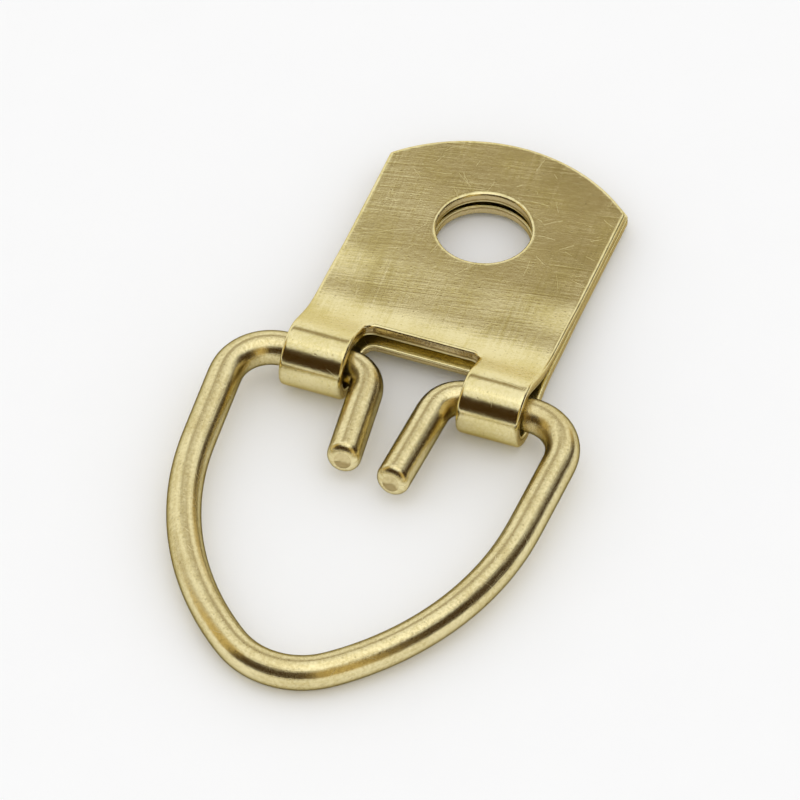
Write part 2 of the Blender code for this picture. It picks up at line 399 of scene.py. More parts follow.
def strip_material(plating, strap, groups):
    """Bright plating on rolled strip: brushing both ways, scratches, pits, dull patches and cut faces."""
    _, graph, shader = new_material("strip_plating")
    drawn_lines = groups["drawn lines"]
    fine_scratches = groups["fine scratches"]
    place = place_on_metal(graph, "sheet_place")
    across, along, level = graph.separate(place)

    lengthwise = graph.group(drawn_lines, {
        "Place": slanted(graph, along, across, level, LENGTHWISE_SLANT), "Along Scale": 0.12,
        "Across Scale": 5.0})
    crosswise = graph.group(drawn_lines, {
        "Place": slanted(graph, across, along, level, CROSSWISE_SLANT), "Along Scale": 0.15,
        "Across Scale": 6.0, "Seed": CROSSWISE_SEED})
    hairlines = graph.group(fine_scratches, {
        "Place": place, "Cell Scale": 0.8, "Width": 0.022, "Length": 0.7, "Share": 0.6, "Seed": plating.seed})
    marks = graph.group(fine_scratches, {
        "Place": place, "Cell Scale": 0.24, "Width": 0.034, "Length": 2.0, "Share": 0.30,
        "Seed": plating.seed + MARKS_SEED_STEP})
    pits = graph.group(groups["pits"], {"Place": place, "Cell Scale": 5.5, "Radius": 0.34, "Share": 0.30})
    clouds = graph.noise(place, 0.33, detail=3, roughness=0.6)
    speckle = graph.noise(place, 6.5, roughness=0.6)
    grain = graph.noise(place, 2.4, roughness=0.6)
    upright = graph.noise(graph.vector("MULTIPLY", place, STRIP_UPRIGHT_SCALE), 1.0, roughness=0.6)

    # The sheared face lies between the strip's two faces, and its lower half is torn
    edge = strap.thickness / 2 * MILLIMETRES
    roll = strap.roll_depth * MILLIMETRES
    whole, gone = [edge - roll * rolls for rolls in ROLLS_TO_CUT]
    cut = graph.ramp(graph.math("ABSOLUTE", level), whole, gone, 1, 0)
    torn_level = graph.total(level, (upright, 0.16))
    torn = graph.product(cut, graph.ramp(torn_level, *STRIP_TORN_LEVELS, 1, 0))

    # Wear comes in patches and keeps off the bends
    patches = graph.ramp(graph.noise(place, 0.42, roughness=0.55), *WORN_PATCHES, LEAST_WORN, 1)
    on_leaf = graph.ramp(graph.math("ABSOLUTE", along), *OFF_THE_BENDS, WORN_ON_BENDS, 1)
    worn = graph.product(patches, on_leaf)
    middle = MEAN_NOISE * (1 + CROSSWISE_SHARE)
    brushing = graph.product(graph.total(-middle, (lengthwise, 1.0), (crosswise, CROSSWISE_SHARE)), worn)

    tone = graph.total(0.0, (clouds, 0.6), (speckle, 0.4), (brushing, 0.55))
    dullness = graph.total(graph.noise(place, 0.30, detail=4, roughness=0.6), (brushing, 0.30))
    stain = graph.product(graph.ramp(dullness, *DULL_TONES, 0, MOST_DULL), worn)
    colour = graph.covered(
        opaque(plating.strip_colour),
        (graph.ramp(tone, *STRIP_DEEP_TONES), plating.strip_deep_colour),
        (stain, plating.stain_colour),
        (graph.product(pits, PIT_COVER), plating.pit_colour),
        # The cut faces' colour: thin plating, plus painted shade
        (cut, plating.cut_metal_and_shade_colour),
        (torn, plating.torn_colour))
    roughness = graph.total(0.06, (clouds, 0.10), (speckle, 0.10), (lengthwise, 0.05), (hairlines, 0.10),
                            (marks, 0.10), (cut, 0.08), (torn, 0.08))
    height = graph.total(0.0, (brushing, 0.0100), (grain, 0.0055), (graph.product(upright, cut), 0.010),
                         (speckle, 0.0028), (hairlines, -0.0013), (marks, -0.0020), (pits, -0.0025))
    # The strip's flat-angle tint paints a mild shade along its edges
    finish_metal(graph, shader, colour, roughness, height, plating.strip_edge_painted_shade)


def wire_material(plating, ring, groups):
    """Bright plating on drawn wire: lengthwise lines, speckle, nicks, pits and rougher cut ends."""
    _, graph, shader = new_material("wire_plating")
    place = place_on_metal(graph, "wire_place")
    along, sideways, upward = graph.separate(place)
    around = graph.product(graph.math("ARCTAN2", upward, sideways), ring.wire_diameter / 2 * MILLIMETRES)

    lines = graph.group(groups["drawn lines"], {"Place": place, "Along Scale": 0.09, "Across Scale": 5.0})
    nicks = graph.group(groups["fine scratches"], {
        "Place": graph.combine(along, around), "Cell Scale": 0.9, "Width": 0.022, "Length": 0.45,
        "Share": 0.5, "Seed": plating.seed})
    pits = graph.group(groups["pits"], {"Place": place, "Cell Scale": 5.0, "Radius": 0.36, "Share": 0.42})
    clouds = graph.noise(place, 0.45, detail=3, roughness=0.6)
    speckle = graph.noise(place, 6.0, roughness=0.6)
    grain = graph.noise(place, 2.2, roughness=0.6)
    crumbs = graph.noise(place, 5.0, detail=3, roughness=0.65)
    upright = graph.noise(graph.vector("MULTIPLY", place, WIRE_UPRIGHT_SCALE), 1.0, roughness=0.6)

    # A bowed line parts the smooth half of a cut end from the torn one
    cut = graph.add("ShaderNodeAttribute", attribute_name="cut_face").outputs["Fac"]
    bow = graph.product(sideways, sideways)
    torn_level = graph.total(0.0, (bow, 0.45), (upward, -1.0), (grain, 0.55))
    torn = graph.product(cut, graph.ramp(torn_level, *WIRE_TORN_LEVELS, 1, 0))

    tone = graph.total(0.0, (clouds, 0.35), (speckle, 0.40), (lines, 0.25))
    colour = graph.covered(
        opaque(plating.wire_colour),
        (graph.ramp(tone, *WIRE_DEEP_TONES), plating.wire_deep_colour),
        (graph.product(pits, PIT_COVER), plating.pit_colour),
        # The cut ends' colour: thin plating, plus painted shade
        (graph.product(cut, WIRE_CUT_COVER), plating.cut_metal_and_shade_colour),
        (graph.product(torn, WIRE_TORN_COVER), plating.torn_colour))
    roughness = graph.total(0.13, (clouds, 0.14), (speckle, 0.09), (nicks, 0.12), (cut, 0.10), (torn, 0.14))
    height = graph.total(0.0, (lines, 0.0065), (grain, 0.0085), (speckle, 0.0030), (nicks, -0.0025),
                         (pits, -0.0030), (graph.product(upright, cut), 0.012),
                         (graph.product(crumbs, torn), 0.045), (torn, -0.05))
    # The wire's nearly black flat-angle tint paints dark outlines along its edges
    finish_metal(graph, shader, colour, roughness, height, plating.wire_edge_painted_shade)


# Paths

def arc(centre, radius, start, end, step_angle=math.radians(3)):
    """Points on a circle from one angle to another, both ends included."""
    steps = max(2, math.ceil(abs(end - start) / step_angle))
    angles = np.linspace(start, end, steps + 1)
    return [Vector(centre) + radius * Vector((math.cos(angle), math.sin(angle))) for angle in angles]


def mirrored(points):
    """The points of the other half of an outline, so that the whole runs on in one direction."""
    return [Vector((-point.x, point.y)) for point in reversed(points)]


def path_lengths(points):
    """The distance along a path at each of its points."""
    steps = np.linalg.norm(np.diff(points, axis=0), axis=1)
    return np.concatenate(([0.0], np.cumsum(steps)))


def points_at(points, lengths, places):
    """The points of a path at the given distances along it."""
    return np.stack([np.interp(places, lengths, column) for column in points.T], axis=1)


def evenly_spaced(points, spacing):
    points = np.array(points, dtype=float)
    lengths = path_lengths(points)
    count = max(2, round(lengths[-1] / spacing))
    return points_at(points, lengths, np.linspace(0, lengths[-1], count + 1))


def softened(points, passes, free=1.0):
    """Each point moved towards its neighbours several times, so that bends start and end gently."""
    for _ in range(passes):
        points[1:-1] += (points[:-2] + points[2:] - 2 * points[1:-1]) / 4 * free
    return points


def lying_tilt(reach, depth, height):
    """The angle at which a plate with this reach and half depth touches the floor below an axis."""
    return math.asin(height / math.hypot(reach, depth)) - math.atan2(depth, reach)


class FoldPath:
    """The folded sheet's middle line, from beyond the lower leaf's tip round the eye to beyond the upper's.

    Points are (along the strap, above the plane between the leaves). Stations count along the sheet from
    the fold's outermost point, and are negative on the lower leaf.
    """

    SPACING = 0.00005
    SPARE = 0.0010
    SOFTNESS = 24

    def __init__(self, strap, ring):
        self.eye_outer = ring.wire_diameter / 2 + strap.eye_clearance + strap.thickness
        self.eye_radius = self.eye_outer - strap.thickness / 2
        self.leaf_height = (strap.leaf_gap + strap.thickness) / 2
        self.upper_end = strap.axis_to_hole + strap.hole_to_end
        self.lower_end = self.upper_end + strap.overhang
        crease = Vector((strap.axis_to_crease, self.leaf_height))
        tangent = math.atan2(crease.y, crease.x) + math.acos(self.eye_radius / crease.length)
        slope = math.pi / 2 - tangent
        leaf_start = strap.axis_to_crease + strap.crease_radius * math.tan(slope / 2)
        eye = arc((0, 0), self.eye_radius, math.pi, tangent)
        bend_centre = (leaf_start, self.leaf_height + strap.crease_radius)
        bend = arc(bend_centre, strap.crease_radius, -math.pi / 2 - slope, -math.pi / 2)
        leaf_tip = Vector((self.lower_end + self.SPARE, self.leaf_height))
        side = eye + bend + [leaf_tip]
        whole = [Vector((point.x, -point.y)) for point in reversed(side)] + side[1:]
        points = softened(evenly_spaced(whole, self.SPACING), self.SOFTNESS)
        # Only the creases soften further, so the eye stays round
        free = np.clip((points[1:-1, :1] - self.eye_radius) / self.eye_radius, 0, 1)
        self.points = softened(points, strap.crease_softness, free)
        self.lengths = path_lengths(self.points)
        self.fold = self.lengths[-1] / 2

    def station(self, along, side=1):
        """How far along the sheet a place beyond the eye lies."""
        half = len(self.points) // 2
        distance = np.interp(along, self.points[half:, 0], self.lengths[half:] - self.fold)
        return side * float(distance)


# Strap

class Blank:
    """The stamped blank before it is folded: X runs across it, Y counts the stations, Z is its height.

    A side is 1 for the upper leaf and -1 for the lower one. The leaf still bends as far as CREASE_REACH past
    the crease, and a bowed end takes up less than BOW_REACH. The flat face begins FLAT_INSET inside a cut.
    """

    BEND_SPACING = 0.00012
    LEAF_SPACING = 0.00040
    CREASE_REACH = 0.0022
    BOW_REACH = 0.0050
    FLAT_INSET = 0.00026
    FIRST_ROW = 0.00010
    ROLL_STEP = 15
    CORNER_STEP = math.radians(8)
    BOW_STEP = math.radians(1.5)
    WINDOW_STEP = math.radians(10)
    # Insets and heights down the sheared wall, then insets and heights above the inner face at its foot
    WALL = ((0.0, -0.00002), (0.00001, -0.00010))
    FOOT = ((0.000012, 0.00004), (0.000025, 0.00001), (0.00005, 0.0))
    # The triangulation keeps only what lies inside its edges, and this close, in millimetres, points are one
    KEEP_INSIDE = 1
    CLOSE = 1e-5

    def __init__(self, strap, path):
        self.strap = strap
        self.half_width = strap.width / 2
        self.bow_radius = (self.half_width ** 2 + strap.end_rise ** 2) / (2 * strap.end_rise)
        self.tips = {1: path.station(path.upper_end), -1: path.station(path.lower_end, -1)}
        self.window_reach = path.station(strap.axis_to_window)
        self.hole_place = path.station(strap.axis_to_hole)
        self.soft_end = path.station(strap.axis_to_crease + self.CREASE_REACH)
        self.stations = self.all_stations()

    def all_stations(self):
        """Stations close together in the bends and further apart on the leaves."""
        bend_steps = round(self.soft_end / self.BEND_SPACING)
        bend = np.linspace(0, self.soft_end, bend_steps + 1)
        leaf_steps = round((self.tips[1] - self.soft_end) / self.LEAF_SPACING)
        leaf = np.linspace(self.soft_end, self.tips[1], leaf_steps + 1)[1:]
        side = np.concatenate((bend, leaf))
        return np.concatenate((-side[:0:-1], side))

    def bow_centre(self, side):
        return Vector((0, self.tips[side] - side * self.bow_radius))

    def end_outline(self, inset):
        """A bowed end round its bow's centre, pointing along +Y, from right to left."""
        radius = self.strap.corner_radius
        corner_x = self.half_width - radius
        corner_y = math.sqrt((self.bow_radius - radius) ** 2 - corner_x ** 2)
        angle = math.atan2(corner_y, corner_x)
        corner = arc((corner_x, corner_y), radius - inset, 0, angle, self.CORNER_STEP)
        bow = arc((0, 0), self.bow_radius - inset, angle, math.pi - angle, self.BOW_STEP)
        return corner + bow[1:-1] + mirrored(corner)

    def outer_loop(self, inset):
        end = self.end_outline(inset)
        upper = [self.bow_centre(1) + point for point in end]
        lower = [self.bow_centre(-1) - point for point in end]
        corner = self.strap.corner_radius
        side = [station for station in self.stations if lower[0].y + corner < station < upper[0].y - corner]
        edge = self.half_width - inset
        right = [Vector((edge, station)) for station in side]
        left = [Vector((-edge, station)) for station in reversed(side)]
        return right + upper + left + lower

    def window_loop(self, inset):
        strap = self.strap
        half = Vector((strap.window_width / 2 - strap.window_corner, self.window_reach - strap.window_corner))
        radius = strap.window_corner + inset
        corner = [half + point for point in arc((0, 0), radius, 0, math.pi / 2, self.WINDOW_STEP)]
        steps = round(2 * half.x / self.LEAF_SPACING)
        top = [Vector((x, half.y + radius)) for x in np.linspace(half.x, -half.x, steps + 1)[1:-1]]
        rising = [Vector((half.x + radius, station)) for station in self.stations
                  if abs(station) < half.y - self.BEND_SPACING / 2]
        over = rising + corner + top + mirrored(corner)
        return over + [-point for point in over]

    def loops(self, inset):
        radius = self.strap.hole_diameter / 2 + inset
        holes = [arc((0, side * self.hole_place), radius, 0, 2 * math.pi)[:-1] for side in (1, -1)]
        return [self.outer_loop(inset), self.window_loop(inset), *holes]

    def rim(self):
        """How far inside the cut line and how high each step of the edge lies, from the outer face down."""
        strap = self.strap
        top = strap.thickness / 2
        rolled = [(strap.roll_width * (1 - math.sin(angle)), top - strap.roll_depth * (1 - math.cos(angle)))
                  for angle in np.radians(np.arange(0, 91, self.ROLL_STEP))]
        foot = [(inset, height - top) for inset, height in self.FOOT]
        return [(self.FLAT_INSET, top), *rolled, *self.WALL, *foot, (self.FLAT_INSET, -top)]

    def is_clear(self, x, station, margin):
        """Whether a place on the sheet keeps this far from every cut line."""
        strap = self.strap
        place = Vector((x, station))
        near_end = not self.tips[-1] + self.BOW_REACH < station < self.tips[1] - self.BOW_REACH
        from_bow = (place - self.bow_centre(1 if station > 0 else -1)).length
        beyond_bow = near_end and from_bow >= self.bow_radius - margin
        hole = Vector((0, math.copysign(self.hole_place, station)))
        in_hole = (place - hole).length <= strap.hole_diameter / 2 + margin
        in_window = abs(x) < strap.window_width / 2 + margin and abs(station) < self.window_reach + margin
        return abs(x) < self.half_width - margin and not (beyond_bow or in_hole or in_window)

    def inner_places(self, margin):
        """A grid of places on the sheet that keep clear of every cut line."""
        columns = round(self.strap.width / self.LEAF_SPACING)
        return [(x, station) for station in self.stations
                for x in np.linspace(-self.half_width, self.half_width, columns + 1)
                if self.is_clear(x, station, margin)]

    def build(self):
        """The blank as an object, a closed mesh with rolled and sheared edges."""
        blank = bmesh.new()
        rim = self.rim()
        rings = []
        for inset, height in rim:
            loops = self.loops(inset)
            rings.append([[blank.verts.new((*point, height)) for point in loop] for loop in loops])
        for upper, lower in zip(rings, rings[1:]):
            for first, second in zip(upper, lower):
                for index in range(len(first)):
                    blank.faces.new((first[index - 1], first[index], second[index], second[index - 1]))
        inner = self.inner_places(self.FLAT_INSET + self.FIRST_ROW)
        for ring, (_, height) in ((rings[0], rim[0]), (rings[-1], rim[-1])):
            self.fill(blank, ring, inner, height)
        bmesh.ops.recalc_face_normals(blank, faces=blank.faces)
        return mesh_object("strap_blank", blank)

    def fill(self, blank, ring, inner, height):
        """Covers the sheet between its edge loops with small, well-shaped faces."""
        corners = [vertex for loop in ring for vertex in loop]
        loop_of = [number for number, loop in enumerate(ring) for _ in loop] + [0] * len(inner)
        edges = []
        start = 0
        for loop in ring:
            count = len(loop)
            edges += [(start + index, start + (index + 1) % count) for index in range(count)]
            start += count
        corners += [blank.verts.new((x, station, height)) for x, station in inner]
        places = [vertex.co.xy * MILLIMETRES for vertex in corners]
        _, _, faces, origins, _, _ = delaunay_2d_cdt(places, edges, [], self.KEEP_INSIDE, self.CLOSE, True)
        for face in faces:
            used = [origins[index][0] for index in face]
            numbers = {loop_of[index] for index in used}
            in_opening = len(numbers) == 1 and 0 not in numbers
            if not in_opening:
                blank.faces.new([corners[index] for index in used])


def stored(graph, geometry, name, value):
    """The geometry with a vector kept on each point, for its material to read."""
    inputs = {"Geometry": geometry, "Name": name, "Value": value}
    node = graph.add("GeometryNodeStoreNamedAttribute", inputs, data_type="FLOAT_VECTOR", domain="POINT")
    return node.outputs[0]


def finished(graph, geometry, metal):
    """The geometry smoothed, made real and given its metal."""
    smooth = graph.add("GeometryNodeSetShadeSmooth", {"Geometry": geometry}).outputs[0]
    real = graph.add("GeometryNodeRealizeInstances", {"Geometry": smooth}).outputs[0]
    return graph.add("GeometryNodeSetMaterial", {"Geometry": real, "Material": metal}).outputs[0]


def fold_sheet_tree():
    """Folds a flat blank along a path, with a crown, waves and spring, and keeps each point's flat place."""
    graph, given, result = new_tree(
        "fold sheet", "GeometryNodeTree",
        {"Blank": "Geometry", "Path": "Object", "Fold Station": 0.02, "Half Width": 0.0065,
         "Leaf Start": 0.006, "Leaf End": 0.02, "Leaf Ease": 0.003, "Crown": 0.0, "Waviness": 0.0,
         "Wave Scale": 170.0, "Spring Open": 0.0, "Spring Bend": 1.8, "Metal": "Material"},
        "Sheet", "Geometry")
    flat = graph.add("GeometryNodeInputPosition").outputs[0]
    across, station, height = graph.separate(flat)
    path = graph.add("GeometryNodeObjectInfo", {"Object": given["Path"]}).outputs["Geometry"]
    length = graph.math("ADD", station, given["Fold Station"])
    inputs = {"Curves": path, "Length": length}
    sample = graph.add("GeometryNodeSampleCurve", inputs, mode="LENGTH", use_all_curves=False).outputs
    outward = graph.vector("NORMALIZE", graph.vector("CROSS_PRODUCT", (1, 0, 0), sample["Tangent"]))

    out_on_leaf = graph.math("SUBTRACT", graph.math("ABSOLUTE", station), given["Leaf Start"])
    on_leaf = graph.ramp(out_on_leaf, 0.0, given["Leaf Ease"])
    share_across = graph.math("DIVIDE", across, given["Half Width"])
    crown = graph.product(graph.product(share_across, share_across), given["Crown"])
    wave = graph.product(graph.noise(graph.combine(across, station), given["Wave Scale"], detail=1),
                         given["Waviness"])
    dip = graph.product(graph.math("ADD", crown, wave), on_leaf)
    share_along = graph.math("DIVIDE", graph.math("SUBTRACT", station, given["Leaf Start"]),
                             graph.math("SUBTRACT", given["Leaf End"], given["Leaf Start"]), clamp=True)
    rise = graph.product(graph.math("POWER", share_along, given["Spring Bend"]), given["Spring Open"])
    level = graph.math("ADD", graph.math("SUBTRACT", height, dip), rise)

    offset = graph.scaled(outward, level)
    place = graph.vector("ADD", graph.vector("ADD", sample["Position"], offset), graph.combine(across))
    kept = stored(graph, given["Blank"], "sheet_place", flat)
    moved = graph.add("GeometryNodeSetPosition", {"Geometry": kept, "Position": place}).outputs[0]
    graph.feed(result, {"Sheet": finished(graph, moved, given["Metal"])})
    return graph.tree


# Ring

WIRE_SPACING = 0.0001
WIRE_SOFTNESS = 20
WIRE_SIDES = 40
END_STEPS = 12
END_MARGIN = 1.15
CAP_INSETS = (0.05, 0.15, 0.15)
LEAN_REACH = 2.6


def ring_path(strap, ring):
    """The wire's middle line in the ring's own plane, from one cut end to the other."""
    wire_radius = ring.wire_diameter / 2
    bend_radius = ring.leg_bend_radius + wire_radius
    bend_centre = Vector((strap.window_width / 2 + ring.leg_bend_inset, -bend_radius))

    def leg(reach):
        tip = Vector((ring.leg_tip_gap / 2 + wire_radius, -reach))
        to_tip = tip - bend_centre
        bend_end = math.atan2(to_tip.y, to_tip.x) % (2 * math.pi) - math.acos(bend_radius / to_tip.length)
        return [tip] + arc(bend_centre, bend_radius, bend_end, math.pi / 2)

    corner_radius = ring.corner_radius + wire_radius
    apex_radius = ring.apex_radius + wire_radius
    lean = ring.side_lean
    corner_centre = Vector((strap.width / 2 + ring.side_clearance, -corner_radius))
    apex_centre = Vector((0, apex_radius + wire_radius - ring.reach))
    corner = arc(corner_centre, corner_radius, math.pi / 2, -lean)
    inward = Vector((-math.cos(lean), math.sin(lean)))
    straight = ring.side_straight * ring.reach
    straight_end = corner[-1] + straight * Vector((-math.sin(lean), -math.cos(lean)))
    to_apex = apex_centre - straight_end
    shoulder_radius = (to_apex.length_squared - apex_radius ** 2) / (2 * (inward.dot(to_apex) - apex_radius))
    shoulder_centre = straight_end + shoulder_radius * inward
    to_apex = apex_centre - shoulder_centre
    apex_start = math.atan2(to_apex.y, to_apex.x)
    shoulder = arc(shoulder_centre, shoulder_radius, -lean, apex_start)
    apex = arc(apex_centre, apex_radius, apex_start, -math.pi / 2)
    right_side = corner + shoulder + apex[1:]
    right = leg(ring.right_leg_reach) + right_side
    left = mirrored(right_side)[1:] + mirrored(leg(ring.left_leg_reach))
    return softened(evenly_spaced(right + left, WIRE_SPACING), WIRE_SOFTNESS)


def with_close_ends(points, rounding):
    """The path with more points in the last stretch before each cut end, where the rim is rounded."""
    lengths = path_lengths(points)
    near = rounding * np.linspace(0, 1, END_STEPS + 1) ** 2
    clear = rounding * END_MARGIN
    middle = lengths[(lengths > clear) & (lengths < lengths[-1] - clear)]
    return points_at(points, lengths, np.concatenate((near, middle, lengths[-1] - near[::-1])))


def captured(graph, geometry, kind, value):
    """The geometry, and a value that it carries from here on."""
    node = graph.add("GeometryNodeCaptureAttribute", {"Geometry": geometry}, domain="POINT")
    node.capture_items.new(kind, "Kept")
    graph.feed(node.inputs, {"Kept": value})
    return node.outputs["Geometry"], node.outputs["Kept"]


def wire_along_path_tree():
    """Runs a round wire along a path, rounds its cut rims and keeps each point's place on the wire."""
    graph, given, result = new_tree(
        "wire along path", "GeometryNodeTree",
        {"Path": "Geometry", "Wire Radius": 0.0009, "End Rounding": 0.0002, "Sides": WIRE_SIDES,
         "Metal": "Material"},
        "Wire", "Geometry")
    along = graph.add("GeometryNodeSplineParameter").outputs["Length"]
    total = graph.add("GeometryNodeSplineLength").outputs["Length"]
    from_end = graph.math("MINIMUM", along, graph.math("SUBTRACT", total, along))
    short_by = graph.math("SUBTRACT", 1.0, graph.math("DIVIDE", from_end, given["End Rounding"]), clamp=True)
    lift = graph.math("SQRT", graph.math("SUBTRACT", 1.0, graph.product(short_by, short_by), clamp=True))
    loss = graph.product(graph.math("SUBTRACT", 1.0, lift), given["End Rounding"])
    size = graph.math("DIVIDE", graph.math("SUBTRACT", given["Wire Radius"], loss), given["Wire Radius"])
    sized = graph.add("GeometryNodeSetCurveRadius", {"Curve": given["Path"], "Radius": size}).outputs[0]
    rail, along_rail = captured(graph, sized, "FLOAT", along)

    inputs = {"Resolution": given["Sides"], "Radius": given["Wire Radius"]}
    circle = graph.add("GeometryNodeCurvePrimitiveCircle", inputs).outputs["Curve"]
    flat = graph.add("GeometryNodeInputPosition").outputs[0]
    profile, round_profile = captured(graph, circle, "VECTOR", flat)
    radius = graph.add("GeometryNodeInputRadius").outputs[0]
    inputs = {"Curve": rail, "Profile Curve": profile, "Scale": radius, "Fill Caps": True}
    wire = graph.add("GeometryNodeCurveToMesh", inputs).outputs[0]
    x, y, _ = graph.separate(round_profile)
    placed = stored(graph, wire, "wire_place", graph.combine(along_rail, x, y))
    graph.feed(result, {"Wire": finished(graph, placed, given["Metal"])})
    return graph.tree


def finish_cut_ends(wire, ring):
    """Marks the two sheared faces as cut metal, keeps their places on the wire and leans them.

    The lean fades out over LEAN_REACH wire radiuses, and CAP_INSETS are shares of a radius.
    """
    mesh = bmesh.new()
    mesh.from_mesh(wire.data)
    cut = mesh.verts.layers.float.new("cut_face")
    place = mesh.verts.layers.float_vector["wire_place"]
    radius = ring.wire_diameter / 2
    slide = radius * LEAN_REACH
    caps = [face for face in mesh.faces if len(face.verts) == WIRE_SIDES]
    for cap in caps:
        outward = cap.normal.copy()
        centre = cap.calc_center_median()
        end = cap.verts[0][place][0]
        bare = []
        for share in CAP_INSETS:
            bmesh.ops.inset_individual(mesh, faces=[cap], thickness=radius * share)
            bare += cap.verts
        bare += bmesh.ops.poke(mesh, faces=[cap])["verts"]
        for vertex in bare:
            vertex[cut] = 1
            along, x, y = vertex[place]
            shrink = (vertex.co - centre).length / max(math.hypot(x, y), radius)
            vertex[place] = (along, x * shrink, y * shrink)
        for vertex in mesh.verts:
            depth = abs(vertex[place][0] - end)
            if depth < slide:
                rise = (vertex.co - centre).z + radius
                vertex.co -= outward * math.tan(ring.shear_angle) * rise * (1 - depth / slide)
    mesh.to_mesh(wire.data)
    mesh.free()


# Pieces

def new_object(name, data):
    piece = bpy.data.objects.new(name, data)
    bpy.context.scene.collection.objects.link(piece)
    return piece


def mesh_object(name, mesh):
    data = bpy.data.meshes.new(name)
    mesh.to_mesh(data)
    mesh.free()
    return new_object(name, data)


def path_object(name, places, tilt):
    """A line through places round the hinge's axis, turned about the axis and moved to where it lies."""
    turn = Matrix.Rotation(tilt, 3, "X")
    curve = bpy.data.curves.new(name, "CURVE")
    curve.dimensions = "3D"
    spline = curve.splines.new("POLY")
    spline.points.add(len(places) - 1)
    for spline_point, place in zip(spline.points, places):
        spline_point.co = (*(hinge + turn @ Vector(place)), 1)
    return new_object(name, curve)


def run_tree(source, tree, values, name):
    """Runs a geometry tree on an object and returns its result as an object with a plain mesh."""
    modifier = source.modifiers.new(tree.name, "NODES")
    modifier.node_group = tree
    for item in tree.interface.items_tree:
        if item.name in values:
            modifier[item.identifier] = values[item.name]
    depsgraph = bpy.context.evaluated_depsgraph_get()
    mesh = bpy.data.meshes.new_from_object(source.evaluated_get(depsgraph), depsgraph=depsgraph)
    source.modifiers.remove(modifier)
    bpy.data.objects.remove(source)
    mesh.name = name
    return new_object(name, mesh)


class HANGER_OT_plating(bpy.types.Operator):
    """Makes the two plating materials and the node groups that they share"""

    bl_idname = "hanger.plating"
    bl_label = "Plating"

    def execute(self, context):
        scene = context.scene
        groups = {tree.name: tree for tree in (fine_scratches_group(), drawn_lines_group(), pits_group())}
        strip_material(scene.hanger_plating, scene.hanger_strap, groups)
        wire_material(scene.hanger_plating, scene.hanger_ring, groups)
        return {"FINISHED"}


class HANGER_OT_strap(bpy.types.Operator):
    """Builds the folded strap with its rolled and sheared edges"""

    bl_idname = "hanger.strap"
    bl_label = "Folded Strap"

    def execute(self, context):
        scene = context.scene
        strap = scene.hanger_strap
        path = FoldPath(strap, scene.hanger_ring)
        blank = Blank(strap, path)
        tilt = -lying_tilt(path.lower_end, path.leaf_height + strap.thickness / 2, path.eye_outer)
        line = path_object("fold_path", [(0, along, above) for along, above in path.points], tilt)
        values = {"Path": line, "Fold Station": path.fold, "Half Width": blank.half_width,
                  "Leaf Start": blank.soft_end, "Leaf End": blank.tips[1], "Crown": strap.crown,
                  "Spring Open": strap.spring_open, "Waviness": strap.waviness,
                  "Metal": bpy.data.materials["strip_plating"]}
        piece = run_tree(blank.build(), fold_sheet_tree(), values, "strap_sheet")
        bpy.data.objects.remove(line)
        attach(piece, "strap")
        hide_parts("folded_strap")
        return {"FINISHED"}


class HANGER_OT_ring(bpy.types.Operator):
    """Builds the bent wire ring with its two sheared ends"""

    bl_idname = "hanger.ring"
    bl_label = "Wire Ring"

    def execute(self, context):
        scene = context.scene
        strap = scene.hanger_strap
        ring = scene.hanger_ring
        radius = ring.wire_diameter / 2
        eye_outer = FoldPath(strap, ring).eye_outer
        tilt = math.asin((eye_outer - radius) / (ring.reach - radius))
        flat = with_close_ends(ring_path(strap, ring), ring.end_rounding)
        line = path_object("ring_path", [(x, y, 0) for x, y in flat], tilt)
        values = {"Wire Radius": radius, "End Rounding": ring.end_rounding,
                  "Metal": bpy.data.materials["wire_plating"]}
        piece = run_tree(line, wire_along_path_tree(), values, "ring_wire")
        finish_cut_ends(piece, ring)
        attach(piece, "ring")
        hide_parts("d_ring")
        return {"FINISHED"}


# Stage

ROUND_SEGMENTS = 96
FLOOR_RADIUS = 3.0
FLOOR_DROP = 0.00002
FLOOR_ROUGHNESS = 0.9
FLOOR_SHEEN = 0.1
FLOOR_SHADE = 0.985
FLOOR_MOTTLE_SCALE = 300.0
LAMP_SIDE = 0.12
LAMP_FRONT = -0.05
CAMERA_NEAREST = 0.01
CAMERA_FURTHEST = 20

# Where the cloths fade in sideways, as cosines, and where dark cloth turns warm, as a sine
NEAR_SIDE = (-0.65, -0.10)
FLANK_SIDE = (0.45, 0.70)
WARM_SIDE = (0.3, 1.0)


def flag_cylinder(name, radius, low, high):
    """An upright cylinder round the hanger, between two elevations."""
    mesh = bmesh.new()
    angles = np.linspace(0, 2 * math.pi, ROUND_SEGMENTS + 1)[:-1]
    circle = [(radius * math.cos(angle), radius * math.sin(angle)) for angle in angles]
    lower = [mesh.verts.new((x, y, radius * math.tan(low))) for x, y in circle]
    upper = [mesh.verts.new((x, y, radius * math.tan(high))) for x, y in circle]
    for index in range(ROUND_SEGMENTS):
        mesh.faces.new((lower[index - 1], lower[index], upper[index], upper[index - 1]))
    return mesh_object(name, mesh)


